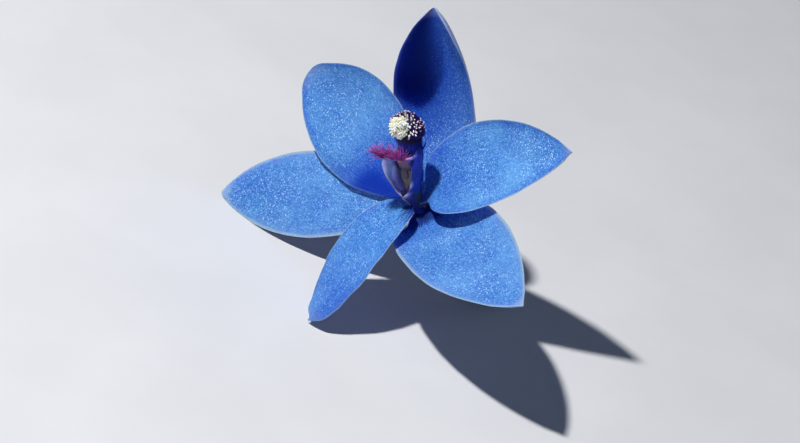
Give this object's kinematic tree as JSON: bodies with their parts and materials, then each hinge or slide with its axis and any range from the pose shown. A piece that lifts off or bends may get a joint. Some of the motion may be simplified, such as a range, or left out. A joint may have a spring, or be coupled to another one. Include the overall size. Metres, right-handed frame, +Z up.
{
  "type": "orchid flower",
  "caption": "Picked blue sun orchid flower with cupped tepals, narrow labellum, winged column, brush tufts, calli crest, ovary and short stalk, lying on a surface.",
  "frame": {"origin": "on the surface that the flower lies on, under the middle of its bounding box", "axes": "+Z up, -Y the horizontal way that the flower faces, +X to the right as one looks at the flower's face"},
  "size_m": [0.0399, 0.0238, 0.0292],
  "materials": {
    "petal": "matte",
    "sepal": "matte",
    "column": "satin",
    "calli": "matte",
    "brush": "matte",
    "stalk": "satin"
  },
  "bodies": {
    "root": {"dorsal_sepal": "sepal", "left_sepal": "sepal", "right_sepal": "sepal", "left_petal": "petal", "right_petal": "petal", "labellum": "petal", "column": "column", "calli_crest": "calli", "left_brush": "brush", "right_brush": "brush", "ovary_and_stalk": "stalk"}
  },
  "joints": []
}
